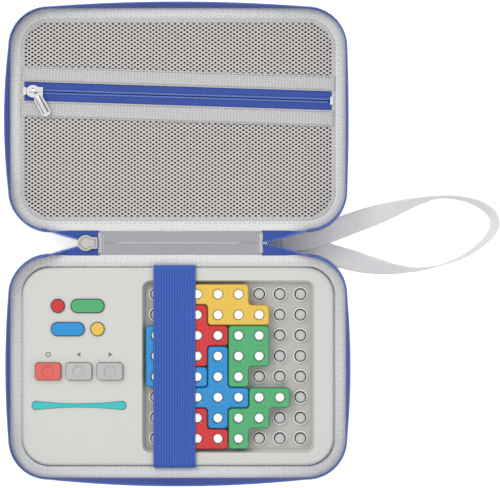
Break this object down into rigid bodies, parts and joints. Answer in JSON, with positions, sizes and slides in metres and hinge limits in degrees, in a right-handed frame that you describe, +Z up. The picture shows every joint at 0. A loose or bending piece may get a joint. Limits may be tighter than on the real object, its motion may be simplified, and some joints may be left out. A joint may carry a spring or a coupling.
{
  "type": "puzzle game carrying case",
  "caption": "Zip-round moulded travel case, open flat, with a light-up block puzzle game under an elastic band, a zipped net pocket in the lid and a flat wrist strap at the hinge.",
  "frame": {"origin": "on the floor under the middle of the hinge panel, midway between the two halves", "axes": "+X along the hinge towards the wrist strap, +Y from the lower half to the lid, +Z up out of the open trays"},
  "size_m": [0.2981, 0.2904, 0.0279],
  "materials": {
    "shell_fabric": "woven light grey cover on moulded foam",
    "lining_fabric": "smooth light grey lining",
    "binding_ribbon": "ribbed light grey grosgrain",
    "zipper_fabric": "blue woven zipper tape",
    "zipper_plastic": "blue moulded coil",
    "panel_fabric": "ribbed grey webbing",
    "slider_paint": "warm grey lacquer",
    "bright_metal": "polished",
    "net_fabric": "warm grey knitted mesh",
    "webbing": "light grey flat webbing",
    "strap_webbing": "light grey flat webbing",
    "housing_plastic": "fine satin, light warm grey",
    "inner_plastic": "dark moulded",
    "board_plastic": "satin white rims on grey",
    "post_lit": "lit translucent white",
    "post_grey": "translucent grey",
    "foot_rubber": "soft matt",
    "bar_teal": "glossy teal",
    "mark_ink": "printed grey",
    "plastic_red": "semi-gloss red",
    "plastic_green": "semi-gloss green",
    "plastic_blue": "semi-gloss blue",
    "plastic_sky": "semi-gloss sky blue",
    "plastic_yellow": "semi-gloss yellow",
    "button_red": "satin red",
    "button_grey": "satin grey",
    "band_elastic": "blue ribbed elastic",
    "circuit": "green laminate",
    "steel": "plain steel",
    "cell_wrap": "printed sleeve"
  },
  "bodies": {
    "base": {"badge_blue": "plastic_sky", "badge_green": "plastic_green", "badge_red": "plastic_red", "badge_yellow": "plastic_yellow", "base_binding": "binding_ribbon", "base_lining": "lining_fabric", "base_shell": "shell_fabric", "base_zipper_tape": "zipper_fabric", "base_zipper_teeth": "zipper_plastic", "battery_cells": "cell_wrap", "battery_contacts": "steel", "battery_cover": "housing_plastic", "block_blue": "plastic_blue", "block_blue_small": "plastic_blue", "block_red_lower": "plastic_red", "block_red_upper": "plastic_red", "block_sky": "plastic_sky", "block_yellow": "plastic_yellow", "board_plate": "board_plastic", "button_marks": "mark_ink", "button_switches": "inner_plastic", "circuit_board": "circuit", "elastic_band": "band_elastic", "game_feet": "foot_rubber", "game_lower_housing": "housing_plastic", "game_upper_housing": "housing_plastic", "housing_screws": "steel", "light_bar": "bar_teal", "light_posts_lit": "post_lit", "light_posts_plain": "post_grey", "speaker": "inner_plastic", "strap_tab": "strap_webbing", "wrist_strap": "strap_webbing"},
    "hinge_panel": {"hinge_inner_panel": "panel_fabric", "hinge_outer_panel": "panel_fabric", "zipper_end_tapes": "zipper_fabric", "zipper_end_teeth": "zipper_plastic"},
    "lid": {"lid_binding": "binding_ribbon", "lid_lining": "lining_fabric", "lid_shell": "shell_fabric", "lid_zipper_tape": "zipper_fabric", "lid_zipper_teeth": "zipper_plastic", "pocket_net_upper": "net_fabric", "pocket_net_lower": "net_fabric", "pocket_strip_upper": "webbing", "pocket_strip_lower": "webbing", "pocket_tape_upper": "zipper_fabric", "pocket_tape_lower": "zipper_fabric", "pocket_coil": "zipper_plastic", "pocket_end_stops": "bright_metal"},
    "main_slider": {"main_slider": "slider_paint"},
    "main_pull": {"main_pull": "bright_metal"},
    "pocket_slider": {"pocket_slider": "bright_metal"},
    "pocket_pull": {"pocket_pull": "bright_metal"},
    "button_power": {"button_power": "button_red"},
    "button_back": {"button_back": "button_grey"},
    "button_next": {"button_next": "button_grey"},
    "block_green_upper": {"block_green_upper": "plastic_green"},
    "block_green_lower": {"block_green_lower": "plastic_green"}
  },
  "joints": [
    {"name": "base_fold", "type": "hinge", "parent": "hinge_panel", "child": "base", "pos_m": [0, -0.007, 0.021], "axis": [-1, 0, 0], "range_deg": [0, 90]},
    {"name": "lid_fold", "type": "hinge", "parent": "hinge_panel", "child": "lid", "pos_m": [0, 0.007, 0.021], "axis": [1, 0, 0], "range_deg": [0, 90]},
    {"name": "main_slider_run", "type": "slide", "parent": "hinge_panel", "child": "main_slider", "axis": [-1, 0, 0], "range_m": [0, 0.017]},
    {"name": "main_pull_swing", "type": "hinge", "parent": "main_slider", "child": "main_pull", "pos_m": [-0.0547, 0, 0.0174], "axis": [0, 1, 0], "range_deg": [-90, 90]},
    {"name": "pocket_slider_run", "type": "slide", "parent": "lid", "child": "pocket_slider", "axis": [0.9995, -0.0314, 0], "range_m": [0, 0.172]},
    {"name": "pocket_pull_swing", "type": "hinge", "parent": "pocket_slider", "child": "pocket_pull", "pos_m": [-0.08696, 0.09198, 0.02295], "axis": [-0.8746, -0.4848, 0], "range_deg": [0, 150]},
    {"name": "button_power_press", "type": "slide", "parent": "base", "child": "button_power", "axis": [0, 0, -1], "range_m": [0, 0.0008], "stiffness_N_per_m": 700},
    {"name": "button_back_press", "type": "slide", "parent": "base", "child": "button_back", "axis": [0, 0, -1], "range_m": [0, 0.0008], "stiffness_N_per_m": 700},
    {"name": "button_next_press", "type": "slide", "parent": "base", "child": "button_next", "axis": [0, 0, -1], "range_m": [0, 0.0008], "stiffness_N_per_m": 700},
    {"name": "block_green_upper_lift", "type": "slide", "parent": "base", "child": "block_green_upper", "axis": [0, 0, 1], "range_m": [0, 0.006]},
    {"name": "block_green_lower_lift", "type": "slide", "parent": "base", "child": "block_green_lower", "axis": [0, 0, 1], "range_m": [0, 0.006]}
  ],
  "couplings": [
    {"joint": "lid_fold", "follows": "base_fold", "ratio": 1}
  ]
}
